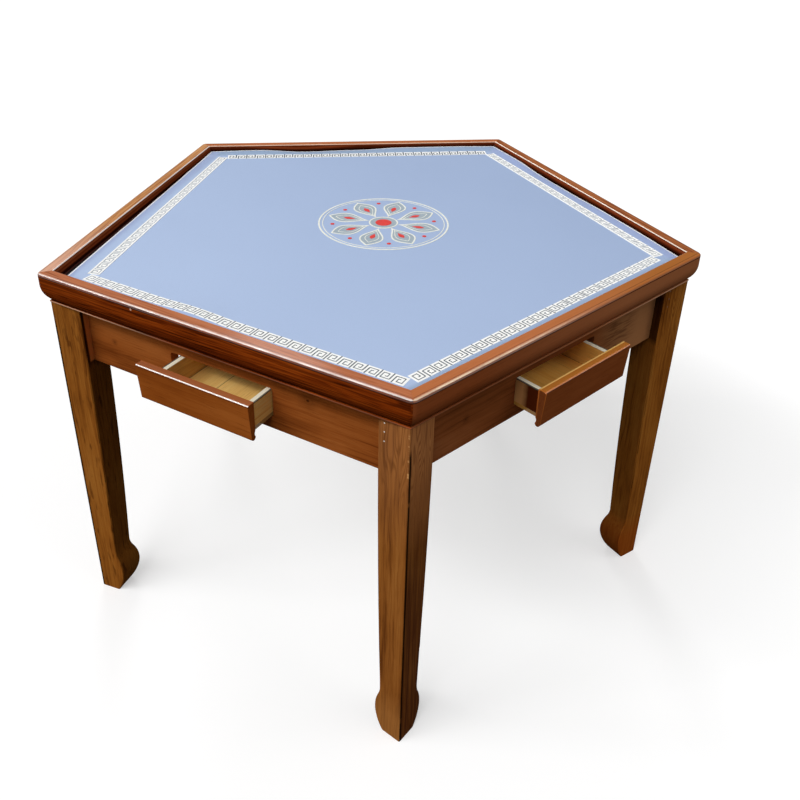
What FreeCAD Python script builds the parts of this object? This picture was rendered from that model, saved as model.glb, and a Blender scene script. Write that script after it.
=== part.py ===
import FreeCAD, Part
import math
import os
from FreeCAD import Vector

# A five-sided mahjong table with a tray top and a shallow drawer in every side.
# Frame: millimetres, +Z up, origin on the floor under the middle of the bounding box.
# One corner points to -Y. Each side's pieces are drawn in a side frame, where X runs
# along the side, Y is the inset from the outer edge line and Z is up, and are then
# turned into place. Each corner's pieces are drawn in a corner frame, where Y is the
# distance inwards from the outer corner and X runs across it.

os.makedirs("parts", exist_ok=True)

# ---- overall sizes
SIDES = 5
SIDE_LENGTH = 750.0
TABLE_HEIGHT = 750.0
HALF_SIDE_ANGLE = math.pi / SIDES
APOTHEM = SIDE_LENGTH / 2 / math.tan(HALF_SIDE_ANGLE)
CIRCUMRADIUS = SIDE_LENGTH / 2 / math.sin(HALF_SIDE_ANGLE)
HALF_CORNER_ANGLE = math.pi / 2 - HALF_SIDE_ANGLE

# ---- rim rails
RIM_HEIGHT = 60.0
RIM_TOP_WIDTH = 24.0
RIM_FOOT_WIDTH = 60.0
RIM_CORNER_RADIUS = 12.0
RIM_BOTTOM = TABLE_HEIGHT - RIM_HEIGHT
BULGE_HEIGHT = TABLE_HEIGHT - 24.0
OUTER_ROUND = 5.0
INNER_ROUND = 2.2
OVOLO_INSET = 14.5
OVOLO_BOTTOM = RIM_BOTTOM + 5.0
QUIRK_DEPTH = 2.2
BEAD_RADIUS = 2.0
BEAD_INSET = 14.0
LIP_BULGE = 3.0
LIP_EDGE_DROP = 2.8
LIP_STEP = 1.2
LIP_STEP_DROP = 3.6
LIP_BULGE_DROP = 10.0
LIP_FOOT_STEP = 0.4
LIP_FOOT_GAP = 1.5
MITRE_GAP = 0.05

# ---- tray floor
MAT_DEPTH = 18.0
MAT_THICKNESS = 2.5
MAT_INSET = 28.0
BOARD_THICKNESS = 12.0
BOARD_CLEARANCE = 0.6
BOARD_TOP = TABLE_HEIGHT - MAT_DEPTH - MAT_THICKNESS
BOARD_BOTTOM = BOARD_TOP - BOARD_THICKNESS

# ---- legs: square posts set cornerwise, tapered on the two inner faces
LEG_WIDTH = 60.0
LEG_CORNER_INSET = 15.4
LEG_TAPER_TOP = 580.0
LEG_BOW = 1.7
ANKLE_WIDTH = 48.0
ANKLE_RADIUS = 55.0
HOOF_WIDTH = 58.5
HOOF_HEIGHT = 53.0
HOOF_RADIUS = 92.0
LEG_ARRIS_RADIUS = 2.5

# ---- aprons
APRON_INSET = 42.0
APRON_THICKNESS = 18.0
APRON_BOTTOM = 570.0
APRON_EDGE_RADIUS = 3.0
TENON_THICKNESS = 10.0
TENON_BOTTOM = 585.0
TENON_TOP = 684.0
TENON_END = 328.0

# ---- drawer openings
OPENING_NEAR = 98.0
OPENING_FAR = 116.0
OPENING_BOTTOM = 594.0
OPENING_TOP = 650.0
OPENING_RADIUS = 5.0

# ---- drawers
PANEL_NEAR = 97.0
PANEL_FAR = 138.0
PANEL_TOP = 651.0
PANEL_BOTTOM = 580.0
PANEL_TOP_THICKNESS = 15.0
PANEL_BOTTOM_THICKNESS = 10.0
PANEL_ROUND = 3.5
PANEL_GAP = 0.4
GRIP_TOP = 596.0
GRIP_BOTTOM = 585.5
GRIP_DEPTH = 2.0
BOX_WIDTH = 192.0
BOX_LENGTH = 220.0
BOX_BOARD = 10.0
BOX_TOP = 648.0
HOUSING_DEPTH = 5.0
FLOOR_TOP = 604.0
FLOOR_BOTTOM = 597.0
STOP_TOP = 661.0
PULLED_OUT = 46.0

# ---- drawer runners
RUNNER_WEB = 12.0
RUNNER_SIDE_GAP = 1.5
RUNNER_LENGTH = 214.0
RUNNER_FLANGE = 12.0
RUNNER_FLANGE_THICKNESS = 9.0
RUNNER_FIT = 0.3
KICKER_WIDTH = 9.0
KICKER_THICKNESS = 8.0
KICKER_GAP = 1.0

# ---- corner blocks and fastenings
BLOCK_START = 92.0
BLOCK_THICKNESS = 25.0
BLOCK_BOTTOM = 660.0
BOLT_HEIGHT = 676.0
BOLT_RADIUS = 4.0
BOLT_START = 62.0
BOLT_OVERHANG = 12.0
BOLT_CLEARANCE = 0.5
WASHER_RADIUS = 9.0
WASHER_THICKNESS = 1.6
NUT_SIDES = 6
NUT_RADIUS = 7.5
NUT_HEIGHT = 6.5
SCREW_RADIUS = 2.0
SCREW_HEAD_RADIUS = 4.0
SCREW_HEAD_HEIGHT = 2.5
TOP_SCREW_SPREAD = 32.0
TOP_SCREW_DEPTH = 8.0
APRON_SCREW_ALONG = 98.0
APRON_SCREW_DEPTH = 12.0
APRON_SCREW_HEIGHT = 672.0
APRON_SCREW_PROUD = 1.5
SPLINE_START = 28.0
SPLINE_END = 60.0
SPLINE_HALF_WIDTH = 14.0
SPLINE_THICKNESS = 4.0
SPLINE_BOTTOM = 702.0
BRAD_RADIUS = 1.2
BRAD_LENGTH = 38.0
BRAD_FROM_ARRIS = 48.0
BRAD_HEIGHTS = (680.0, 664.0, 647.0)

# The rounded front corner reaches less far out than the sharp one, so the middle of
# the pentagon sits this far behind the middle of the bounding box.
CORNER_TRIM = RIM_CORNER_RADIUS * (1 / math.sin(HALF_CORNER_ANGLE) - 1)
CENTRE_Y = (CIRCUMRADIUS - CORNER_TRIM - APOTHEM) / 2

# Outward direction of each side in degrees, and whether its drawer front reaches
# further to the right (+1) or to the left (-1), seen from outside.
SIDE_ANGLES = {"front_left": 234, "front_right": 306, "right": 18, "back": 90, "left": 162}
DRAWER_HAND = {"front_left": -1, "front_right": 1, "right": 1, "back": 1, "left": -1}
OPEN_DRAWERS = ("front_left", "front_right")
CORNER_ANGLES = {"front": 270, "right": 342, "back_right": 54, "back_left": 126, "left": 198}
Z_AXIS = Vector(0, 0, 1)
QUARTER_TURN = 90
# How far cutting bodies reach past what they cut, and how near counts as the same place.
MARGIN = 5.0
TOLERANCE = 1e-6


def box(x0, x1, y0, y1, z0, z1):
    """A block between two corners."""
    return Part.makeBox(x1 - x0, y1 - y0, z1 - z0, Vector(x0, y0, z0))


def cylinder(radius, start, end):
    """A round bar from one point to another."""
    axis = end - start
    return Part.makeCylinder(radius, axis.Length, start, axis)


def line(a, b):
    return Part.LineSegment(a, b).toShape()


def arc(a, through, b):
    return Part.Arc(a, through, b).toShape()


def arc_from_vertical(start, end):
    """An arc in a Y-Z plane that leaves start vertically and ends at end."""
    across = end.y - start.y
    up = end.z - start.z
    radius = (across ** 2 + up ** 2) / (2 * across)
    centre = Vector(start.x, start.y + radius, start.z)
    middle = (start + end) * 0.5 - centre
    middle.normalize()
    return arc(start, centre + middle * abs(radius), end)


def rounded_corner(before, corner, after, radius):
    """The two tangent points and the middle point of a right-angled round."""
    first = corner + (before - corner).normalize() * radius
    last = corner + (after - corner).normalize() * radius
    centre = first + last - corner
    middle = centre + (corner - centre).normalize() * radius
    return first, middle, last


def extruded(edges, direction):
    """A solid from a closed outline of edges."""
    return Part.Face(Part.Wire(Part.__sortEdges__(edges))).extrude(direction)


def prism(points, bottom, top):
    """An upright prism over a plan outline given as (x, y) pairs."""
    corners = [Vector(x, y, bottom) for x, y in points]
    wire = Part.makePolygon(corners + corners[:1])
    return Part.Face(wire).extrude(Vector(0, 0, top - bottom))


def largest(shape):
    """The biggest solid of a shape that a cut may have left in several pieces."""
    return max(shape.Solids, key=lambda solid: solid.Volume)


def side_placement(angle):
    """From a side frame to the table's frame."""
    turn = FreeCAD.Rotation(Z_AXIS, angle + QUARTER_TURN)
    centre = Vector(0, CENTRE_Y, 0)
    return FreeCAD.Placement(centre + turn.multVec(Vector(0, -APOTHEM, 0)), turn)


def corner_placement(angle):
    """From a corner frame to the table's frame."""
    turn = FreeCAD.Rotation(Z_AXIS, angle + QUARTER_TURN)
    centre = Vector(0, CENTRE_Y, 0)
    return FreeCAD.Placement(centre + turn.multVec(Vector(0, -CIRCUMRADIUS, 0)), turn)


def moved(shape, placement):
    """A copy of a shape carried rigidly by a placement."""
    copy = shape.copy()
    copy.Placement = placement.multiply(copy.Placement)
    return copy


def save(name, shape):
    shape.exportStep("parts/" + name + ".step")


def pentagon(inset, bottom, top):
    """A regular pentagonal prism whose sides lie at an inset from the outer edges."""
    radius = CIRCUMRADIUS - inset / math.cos(HALF_SIDE_ANGLE)
    points = []
    for angle in CORNER_ANGLES.values():
        turn = math.radians(angle)
        points.append((radius * math.cos(turn), radius * math.sin(turn) + CENTRE_Y))
    return prism(points, bottom, top)


def moulded_side():
    """All that lies inwards of one side's outer moulding, in a side frame."""
    depth = APOTHEM + CIRCUMRADIUS + MARGIN

    def at(inset, height):
        return Vector(-SIDE_LENGTH, inset, height)

    bulge = at(0, BULGE_HEIGHT)
    ovolo = at(OVOLO_INSET, OVOLO_BOTTOM)
    ledge = at(0, OVOLO_BOTTOM)
    foot = at(0, RIM_BOTTOM - MARGIN)
    far_foot = at(depth, RIM_BOTTOM - MARGIN)
    far_top = at(depth, TABLE_HEIGHT)
    top = at(0, TABLE_HEIGHT)
    outline = [
        arc_from_vertical(bulge, ovolo),
        line(ovolo, ledge),
        line(ledge, foot),
        line(foot, far_foot),
        line(far_foot, far_top),
        line(far_top, top),
        line(top, bulge),
    ]
    return extruded(outline, Vector(2 * SIDE_LENGTH, 0, 0))


def climbs_moulding(edge):
    """Whether an edge runs up a corner of the rim between the ovolo's foot and the top."""
    heights = [v.Z for v in edge.Vertexes]
    return min(heights) > OVOLO_BOTTOM - TOLERANCE and max(heights) - min(heights) > TOLERANCE


def on_top(edge):
    return all(abs(v.Z - TABLE_HEIGHT) < TOLERANCE for v in edge.Vertexes)


def rounded_outline():
    """The space inside the rim's moulding, with its outer corners and top edge rounded."""
    plate = moved(moulded_side(), side_placement(SIDE_ANGLES["back"]))
    for side, angle in SIDE_ANGLES.items():
        if side != "back":
            plate = plate.common(moved(moulded_side(), side_placement(angle)))
    plate = largest(plate.removeSplitter())
    plate = plate.makeFillet(RIM_CORNER_RADIUS, [e for e in plate.Edges if climbs_moulding(e)])
    return plate.makeFillet(OUTER_ROUND, [e for e in plate.Edges if on_top(e)])


def side_sector():
    """The wedge of the plan that belongs to one side, a hair inside the mitre planes."""
    apex = APOTHEM - MITRE_GAP / math.sin(HALF_SIDE_ANGLE)
    half = (apex + MARGIN) * math.tan(HALF_SIDE_ANGLE)
    corners = [(0, apex), (-half, -MARGIN), (half, -MARGIN)]
    return prism(corners, RIM_BOTTOM - MARGIN, TABLE_HEIGHT + MARGIN)


def rim_profile(x):
    """The section of a rim rail before its outside is moulded, in the plane at x."""
    def at(inset, height):
        return Vector(x, inset, height)

    top_outer = at(-MARGIN, TABLE_HEIGHT)
    top_inner = at(RIM_TOP_WIDTH, TABLE_HEIGHT)
    inner = rounded_corner(top_outer, top_inner, at(RIM_TOP_WIDTH, BOARD_TOP), INNER_ROUND)
    lip_top = at(RIM_TOP_WIDTH - LIP_STEP, TABLE_HEIGHT - LIP_STEP_DROP)
    lip_side = at(RIM_TOP_WIDTH - LIP_STEP, TABLE_HEIGHT - LIP_EDGE_DROP)
    lip_edge = at(RIM_TOP_WIDTH, TABLE_HEIGHT - LIP_EDGE_DROP)
    lip_middle = at(RIM_TOP_WIDTH + LIP_BULGE, TABLE_HEIGHT - LIP_BULGE_DROP)
    lip_bottom = at(RIM_TOP_WIDTH - LIP_FOOT_STEP, BOARD_TOP + MAT_THICKNESS + LIP_FOOT_GAP)
    rebate = at(RIM_TOP_WIDTH - LIP_FOOT_STEP, BOARD_BOTTOM)
    ledge = at(RIM_FOOT_WIDTH, BOARD_BOTTOM)
    foot = at(RIM_FOOT_WIDTH, RIM_BOTTOM)
    bead_foot = at(BEAD_INSET, RIM_BOTTOM)
    bead_middle = at(BEAD_INSET - BEAD_RADIUS, RIM_BOTTOM + BEAD_RADIUS)
    bead_top = at(BEAD_INSET, RIM_BOTTOM + 2 * BEAD_RADIUS)
    quirk_bottom = at(OVOLO_INSET + QUIRK_DEPTH, RIM_BOTTOM + 2 * BEAD_RADIUS)
    quirk_top = at(OVOLO_INSET + QUIRK_DEPTH, OVOLO_BOTTOM)
    outer_bottom = at(-MARGIN, OVOLO_BOTTOM)
    return [
        line(top_outer, inner[0]),
        arc(*inner),
        line(inner[2], lip_edge),
        line(lip_edge, lip_side),
        line(lip_side, lip_top),
        arc(lip_top, lip_middle, lip_bottom),
        line(lip_bottom, rebate),
        line(rebate, ledge),
        line(ledge, foot),
        line(foot, bead_foot),
        arc(bead_foot, bead_middle, bead_top),
        line(bead_top, quirk_bottom),
        line(quirk_bottom, quirk_top),
        line(quirk_top, outer_bottom),
        line(outer_bottom, top_outer),
    ]


def mitre_spline():
    """A thin tongue that ties two rails across a mitre, in a corner frame."""
    half = SPLINE_HALF_WIDTH
    top = SPLINE_BOTTOM + SPLINE_THICKNESS
    return box(-half, half, SPLINE_START, SPLINE_END, SPLINE_BOTTOM, top)


def rim_rail(side, outline, splines):
    half = SIDE_LENGTH / 2 + MARGIN
    bar = extruded(rim_profile(-half), Vector(2 * half, 0, 0))
    rail = moved(bar.common(side_sector()), side_placement(SIDE_ANGLES[side]))
    return largest(rail.common(outline).cut(splines))


def leg_blank():
    """A leg with its outer arris on the Z axis and its outer faces on X = 0 and Y = 0."""
    hoof_x = HOOF_WIDTH - HOOF_RADIUS
    sole = hoof_x + math.sqrt(HOOF_RADIUS ** 2 - HOOF_HEIGHT ** 2)
    ankle_x = ANKLE_WIDTH + ANKLE_RADIUS
    reach = HOOF_RADIUS + ANKLE_RADIUS
    ankle_z = HOOF_HEIGHT + math.sqrt(reach ** 2 - (ankle_x - hoof_x) ** 2)
    share = HOOF_RADIUS / reach
    join_x = hoof_x + share * (ankle_x - hoof_x)
    join_z = HOOF_HEIGHT + share * (ankle_z - HOOF_HEIGHT)
    join = Vector(join_x, 0, join_z)
    ankle = Vector(ANKLE_WIDTH, 0, ankle_z)
    half_turn = math.atan2(ankle_z - join.z, ankle_x - join.x) / 2
    middle_x = ankle_x - ANKLE_RADIUS * math.cos(half_turn)
    middle_z = ankle_z - ANKLE_RADIUS * math.sin(half_turn)
    ankle_middle = Vector(middle_x, 0, middle_z)
    widest = Vector(HOOF_WIDTH, 0, HOOF_HEIGHT)
    heel = Vector(sole, 0, 0)
    taper = Vector(LEG_WIDTH, 0, LEG_TAPER_TOP)
    bow = (ankle + taper) * 0.5 + Vector(LEG_BOW, 0, 0)
    top = Vector(LEG_WIDTH, 0, RIM_BOTTOM)
    outline = [
        line(Vector(0, 0, 0), heel),
        arc(heel, widest, join),
        arc(join, ankle_middle, ankle),
        arc(ankle, bow, taper),
        line(taper, top),
        line(top, Vector(0, 0, RIM_BOTTOM)),
        line(Vector(0, 0, RIM_BOTTOM), Vector(0, 0, 0)),
    ]
    one_way = extruded(outline, Vector(0, 2 * LEG_WIDTH, 0))
    quarter = FreeCAD.Placement(Vector(0, 0, 0), FreeCAD.Rotation(Z_AXIS, QUARTER_TURN))
    other_way = moved(one_way, quarter).mirror(Vector(0, 0, 0), Vector(1, 0, 0))
    return one_way.common(other_way)


def rounded_leg_blank():
    """The leg with its outer arris and its two side arrises eased."""
    blank = leg_blank()
    eased = []
    for edge in blank.Edges:
        ends = [v.Point for v in edge.Vertexes]
        on_one_face = all(abs(p.y) < TOLERANCE for p in ends)
        on_other_face = all(abs(p.x) < TOLERANCE for p in ends)
        climbs = abs(ends[0].z - ends[-1].z) > TOLERANCE
        if (on_one_face or on_other_face) and climbs:
            eased.append(edge)
    return blank.makeFillet(LEG_ARRIS_RADIUS, eased)


def leg_in_corner(blank):
    """The leg turned so that its diagonal points inwards, in a corner frame."""
    turn = FreeCAD.Rotation(Z_AXIS, QUARTER_TURN / 2)
    return moved(blank, FreeCAD.Placement(Vector(0, LEG_CORNER_INSET, 0), turn))


def leg_socket():
    """The square post of a leg's head, for trimming what meets it, in a corner frame."""
    bottom = APRON_BOTTOM - MARGIN
    top = RIM_BOTTOM + MARGIN
    return leg_in_corner(box(0, LEG_WIDTH, 0, LEG_WIDTH, bottom, top))


def corner_from_side(direction):
    """From a corner frame to the frame of the side to its right (-1) or left (+1)."""
    half_turn = math.degrees(HALF_SIDE_ANGLE)
    turn = FreeCAD.Rotation(Z_AXIS, direction * half_turn)
    return FreeCAD.Placement(Vector(direction * SIDE_LENGTH / 2, 0, 0), turn)


def opening_cutter():
    """The rounded drawer opening of a right-handed apron, in a side frame."""
    front = APRON_INSET - MARGIN
    back = APRON_INSET + APRON_THICKNESS + MARGIN
    cutter = box(-OPENING_NEAR, OPENING_FAR, front, back, OPENING_BOTTOM, OPENING_TOP)
    through = [e for e in cutter.Edges if abs(e.Vertexes[0].Y - e.Vertexes[-1].Y) > TOLERANCE]
    return cutter.makeFillet(OPENING_RADIUS, through)


def on_apron_foot(edge):
    """Whether an edge of the plain apron board is its lower front one."""
    return all(
        abs(v.Y - APRON_INSET) < TOLERANCE and abs(v.Z - APRON_BOTTOM) < TOLERANCE
        for v in edge.Vertexes
    )


def apron(hand):
    """An apron board with its tenons and drawer opening, in a side frame."""
    inner = APRON_INSET + APRON_THICKNESS
    half = SIDE_LENGTH / 2
    board = box(-half, half, APRON_INSET, inner, APRON_BOTTOM, RIM_BOTTOM)
    board = board.makeFillet(APRON_EDGE_RADIUS, [e for e in board.Edges if on_apron_foot(e)])
    for direction in (-1, 1):
        board = board.cut(moved(leg_socket(), corner_from_side(direction)))
    board = largest(board)
    tenon_front = APRON_INSET + (APRON_THICKNESS - TENON_THICKNESS) / 2
    tenon_back = tenon_front + TENON_THICKNESS
    board = board.fuse(box(-TENON_END, TENON_END, tenon_front, tenon_back, TENON_BOTTOM, TENON_TOP))
    cutter = opening_cutter()
    if hand < 0:
        cutter = cutter.mirror(Vector(0, 0, 0), Vector(1, 0, 0))
    return largest(board.cut(cutter).removeSplitter())


def drawer_face():
    """The overlay front with its rounded top and the finger grip behind its lower edge."""
    back = APRON_INSET - PANEL_GAP
    top_front = back - PANEL_TOP_THICKNESS
    low_front = back - PANEL_BOTTOM_THICKNESS

    def at(inset, height):
        return Vector(-PANEL_NEAR, inset, height)

    top = at(top_front + PANEL_ROUND, PANEL_TOP)
    square_top = at(top_front, PANEL_TOP)
    face_top = at(top_front, PANEL_TOP - PANEL_ROUND)
    top_middle = rounded_corner(top, square_top, face_top, PANEL_ROUND)[1]
    lip_radius = PANEL_BOTTOM_THICKNESS / 2
    lip_front = at(low_front, PANEL_BOTTOM + lip_radius)
    lip_tip = at(low_front + lip_radius, PANEL_BOTTOM)
    lip_back = at(back, PANEL_BOTTOM + lip_radius)
    grip_low = at(back, GRIP_BOTTOM)
    grip_middle = at(back - GRIP_DEPTH, (GRIP_TOP + GRIP_BOTTOM) / 2)
    grip_high = at(back, GRIP_TOP)
    back_top = at(back, PANEL_TOP)
    outline = [
        line(back_top, top),
        arc(top, top_middle, face_top),
        line(face_top, lip_front),
        arc(lip_front, lip_tip, lip_back),
        line(lip_back, grip_low),
        arc(grip_low, grip_middle, grip_high),
        line(grip_high, back_top),
    ]
    return extruded(outline, Vector(PANEL_NEAR + PANEL_FAR, 0, 0))


def drawer_pieces():
    """The five boards of a closed right-handed drawer, in a side frame."""
    front = APRON_INSET - PANEL_GAP
    housed = front - HOUSING_DEPTH
    back = front + BOX_LENGTH
    outer = BOX_WIDTH / 2
    inner = outer - BOX_BOARD
    near = box(-outer, -inner, housed, back, FLOOR_TOP, BOX_TOP)
    far = box(inner, outer, housed, back, FLOOR_TOP, BOX_TOP)
    return {
        "face": drawer_face().cut([near, far]),
        "near_side": near,
        "far_side": far,
        "rear": box(-inner, inner, back - BOX_BOARD, back, FLOOR_TOP, STOP_TOP),
        "floor": box(-outer, outer, front, back, FLOOR_BOTTOM, FLOOR_TOP),
    }


def runner(direction):
    """A hanging drawer runner: a web, a flange under the drawer and a kicker over its side."""
    face = BOX_WIDTH / 2 + RUNNER_SIDE_GAP
    front = APRON_INSET + APRON_THICKNESS
    back = front + RUNNER_LENGTH
    flange_top = FLOOR_BOTTOM - RUNNER_FIT
    flange_bottom = flange_top - RUNNER_FLANGE_THICKNESS
    kicker_bottom = BOX_TOP + KICKER_GAP
    kicker_top = kicker_bottom + KICKER_THICKNESS
    web = box(face, face + RUNNER_WEB, front, back, flange_bottom, BOARD_BOTTOM)
    flange = box(face - RUNNER_FLANGE, face, front, back, flange_bottom, flange_top)
    kicker = box(face - KICKER_WIDTH, face, front, back, kicker_bottom, kicker_top)
    solid = web.fuse([flange, kicker]).removeSplitter()
    if direction < 0:
        solid = solid.mirror(Vector(0, 0, 0), Vector(1, 0, 0))
    return solid


def corner_block():
    """The glue block behind a leg, cut to the inner faces of the two aprons."""
    end = BLOCK_START + BLOCK_THICKNESS
    slope = math.tan(HALF_CORNER_ANGLE)
    apex = (APRON_INSET + APRON_THICKNESS) / math.sin(HALF_CORNER_ANGLE)
    half = (end + MARGIN - apex) * slope
    wedge = [(0, apex), (half, end + MARGIN), (-half, end + MARGIN)]
    block = box(-half, half, BLOCK_START, end, BLOCK_BOTTOM, BOARD_BOTTOM)
    return block.common(prism(wedge, BLOCK_BOTTOM, BOARD_BOTTOM))


def leg_bolt():
    end = BLOCK_START + BLOCK_THICKNESS + BOLT_OVERHANG
    return cylinder(BOLT_RADIUS, Vector(0, BOLT_START, BOLT_HEIGHT), Vector(0, end, BOLT_HEIGHT))


def leg_washer():
    start = Vector(0, BLOCK_START + BLOCK_THICKNESS, BOLT_HEIGHT)
    end = start + Vector(0, WASHER_THICKNESS, 0)
    return cylinder(WASHER_RADIUS, start, end).cut(cylinder(BOLT_RADIUS + BOLT_CLEARANCE, start, end))


def leg_nut():
    start = BLOCK_START + BLOCK_THICKNESS + WASHER_THICKNESS
    corners = []
    for step in range(NUT_SIDES + 1):
        turn = 2 * math.pi * step / NUT_SIDES
        across = NUT_RADIUS * math.cos(turn)
        up = NUT_RADIUS * math.sin(turn)
        corners.append(Vector(across, start, BOLT_HEIGHT + up))
    nut = Part.Face(Part.makePolygon(corners)).extrude(Vector(0, NUT_HEIGHT, 0))
    return nut.cut(leg_bolt())


def screw(head, tip):
    """A pan-head screw whose head sits outside the point where it enters."""
    outward = (head - tip).normalize()
    shank = cylinder(SCREW_RADIUS, tip, head)
    cap = cylinder(SCREW_HEAD_RADIUS, head, head + outward * SCREW_HEAD_HEIGHT)
    return shank.fuse(cap).removeSplitter()


def top_screws():
    """Two screws up through a corner block into the board, in a corner frame."""
    middle = BLOCK_START + BLOCK_THICKNESS / 2
    pieces = []
    for x in (-TOP_SCREW_SPREAD, TOP_SCREW_SPREAD):
        head = Vector(x, middle, BLOCK_BOTTOM)
        pieces.append(screw(head, Vector(x, middle, BOARD_BOTTOM + TOP_SCREW_DEPTH)))
    return pieces


def apron_screws():
    """Two screws through a corner block into the aprons, in a corner frame."""
    inner = APRON_INSET + APRON_THICKNESS
    sine = math.sin(HALF_CORNER_ANGLE)
    cosine = math.cos(HALF_CORNER_ANGLE)
    head_inset = (BLOCK_START + BLOCK_THICKNESS - APRON_SCREW_ALONG * cosine) / sine

    def at(direction, inset):
        across = APRON_SCREW_ALONG * sine - inset * cosine
        inward = APRON_SCREW_ALONG * cosine + inset * sine
        return Vector(direction * across, inward, APRON_SCREW_HEIGHT)

    head = head_inset + APRON_SCREW_PROUD
    tip = inner - APRON_SCREW_DEPTH
    return [screw(at(d, head), at(d, tip)) for d in (-1, 1)]


def tenon_brads():
    """The brads driven through one outer face of a leg into a tenon, in a corner frame."""
    brads = []
    for height in BRAD_HEIGHTS:
        start = Vector(0, BRAD_FROM_ARRIS, height)
        brads.append(leg_in_corner(cylinder(BRAD_RADIUS, start, start + Vector(BRAD_LENGTH, 0, 0))))
    return brads


def everywhere(pieces):
    """Separate copies of corner pieces at every corner."""
    copies = []
    for angle in CORNER_ANGLES.values():
        copies += [moved(piece, corner_placement(angle)) for piece in pieces]
    return Part.makeCompound(copies)


def build_tray():
    splines = everywhere([mitre_spline()])
    outline = rounded_outline()
    for side in SIDE_ANGLES:
        save("rim_rail_" + side, rim_rail(side, outline, splines))
    save("mitre_splines", splines)
    board = pentagon(RIM_TOP_WIDTH + BOARD_CLEARANCE, BOARD_BOTTOM, BOARD_TOP)
    save("tabletop_board", board.cut(everywhere(top_screws())))
    save("playing_mat", pentagon(MAT_INSET, BOARD_TOP, BOARD_TOP + MAT_THICKNESS))


def build_underframe():
    aprons = {}
    for side, angle in SIDE_ANGLES.items():
        plain = apron(DRAWER_HAND[side])
        aprons[side] = moved(plain, side_placement(angle))
    bolts = everywhere([leg_bolt()])
    brads = everywhere(tenon_brads())
    blocks = everywhere([corner_block()])
    into_board = everywhere(top_screws())
    into_aprons = everywhere(apron_screws())
    for side in SIDE_ANGLES:
        save("apron_" + side, aprons[side].cut([brads, into_aprons]))
    blank = leg_in_corner(rounded_leg_blank())
    loose_bolt = cylinder(
        BOLT_RADIUS + BOLT_CLEARANCE,
        Vector(0, BOLT_START, BOLT_HEIGHT),
        Vector(0, BLOCK_START + BLOCK_THICKNESS, BOLT_HEIGHT),
    )
    block = corner_block().cut([loose_bolt] + top_screws() + apron_screws())
    for corner, angle in CORNER_ANGLES.items():
        placement = corner_placement(angle)
        leg = moved(blank, placement).cut([*aprons.values(), blocks, bolts, brads])
        save("leg_" + corner, largest(leg))
        save("corner_block_" + corner, moved(block, placement))
    save("leg_bolts", bolts)
    save("leg_bolt_washers", everywhere([leg_washer()]))
    save("leg_bolt_nuts", everywhere([leg_nut()]))
    save("tabletop_screws", into_board)
    save("apron_screws", into_aprons)
    save("tenon_brads", brads)


def build_drawers():
    for side, angle in SIDE_ANGLES.items():
        placement = side_placement(angle)
        pulled = PULLED_OUT if side in OPEN_DRAWERS else 0.0
        slide = FreeCAD.Placement(Vector(0, -pulled, 0), FreeCAD.Rotation())
        for name, piece in drawer_pieces().items():
            if DRAWER_HAND[side] < 0:
                piece = piece.mirror(Vector(0, 0, 0), Vector(1, 0, 0))
            save(side + "_drawer_" + name, moved(moved(piece, slide), placement))
        pair = Part.makeCompound([moved(runner(d), placement) for d in (-1, 1)])
        save(side + "_drawer_runners", pair)


build_tray()
build_underframe()
build_drawers()
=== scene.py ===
from functools import partial
import math

import bmesh
import bpy
from mathutils import Matrix, Vector


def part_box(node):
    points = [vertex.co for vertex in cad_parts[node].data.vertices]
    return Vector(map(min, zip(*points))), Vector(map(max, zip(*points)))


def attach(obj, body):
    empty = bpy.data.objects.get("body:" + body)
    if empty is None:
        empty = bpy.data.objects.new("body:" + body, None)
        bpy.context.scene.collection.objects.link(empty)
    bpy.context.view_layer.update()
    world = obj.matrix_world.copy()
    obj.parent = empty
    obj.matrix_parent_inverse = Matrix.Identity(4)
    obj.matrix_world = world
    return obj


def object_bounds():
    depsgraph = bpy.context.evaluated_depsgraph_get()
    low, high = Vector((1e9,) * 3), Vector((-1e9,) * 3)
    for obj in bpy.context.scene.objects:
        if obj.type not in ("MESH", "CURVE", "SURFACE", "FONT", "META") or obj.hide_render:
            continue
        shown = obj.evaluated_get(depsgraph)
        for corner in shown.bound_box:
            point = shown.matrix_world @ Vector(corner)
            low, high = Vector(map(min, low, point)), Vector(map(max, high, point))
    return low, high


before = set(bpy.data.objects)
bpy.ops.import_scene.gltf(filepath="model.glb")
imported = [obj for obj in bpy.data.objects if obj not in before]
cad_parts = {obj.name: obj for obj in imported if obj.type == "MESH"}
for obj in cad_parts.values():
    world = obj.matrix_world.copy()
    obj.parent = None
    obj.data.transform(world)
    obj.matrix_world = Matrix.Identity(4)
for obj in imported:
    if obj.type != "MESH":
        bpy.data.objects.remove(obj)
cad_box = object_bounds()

# ---- the table, in metres, worked out from the frame
SIDES = 5
SIDE_LENGTH = 0.750
APOTHEM = SIDE_LENGTH / 2 / math.tan(math.pi / SIDES)
CIRCUMRADIUS = SIDE_LENGTH / 2 / math.sin(math.pi / SIDES)
TOP_Z = cad_box[1].z
MAT_LOW, MAT_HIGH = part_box("playing_mat")
MAT_INSET = 0.028
CENTRE = Vector((0.0, MAT_HIGH.y - (APOTHEM - MAT_INSET), 0.0))
SIDE_ANGLES = {"front_left": 234, "front_right": 306, "right": 18, "back": 90, "left": 162}
CORNER_ANGLES = {"front": 270, "right": 342, "back_right": 54, "back_left": 126, "left": 198}


def directions(degrees):
    """The level direction at an angle, and the one a quarter turn on from it."""
    turn = math.radians(degrees)
    ahead = Vector((math.cos(turn), math.sin(turn), 0.0))
    return ahead, Vector((-ahead.y, ahead.x, 0.0))


def side_point(side, along, inset, height):
    """A point given along a side from its middle, inwards from the outer edge, and up."""
    outward, aside = directions(SIDE_ANGLES[side])
    return CENTRE + outward * (APOTHEM - inset) + aside * along + Vector((0, 0, height))


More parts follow.
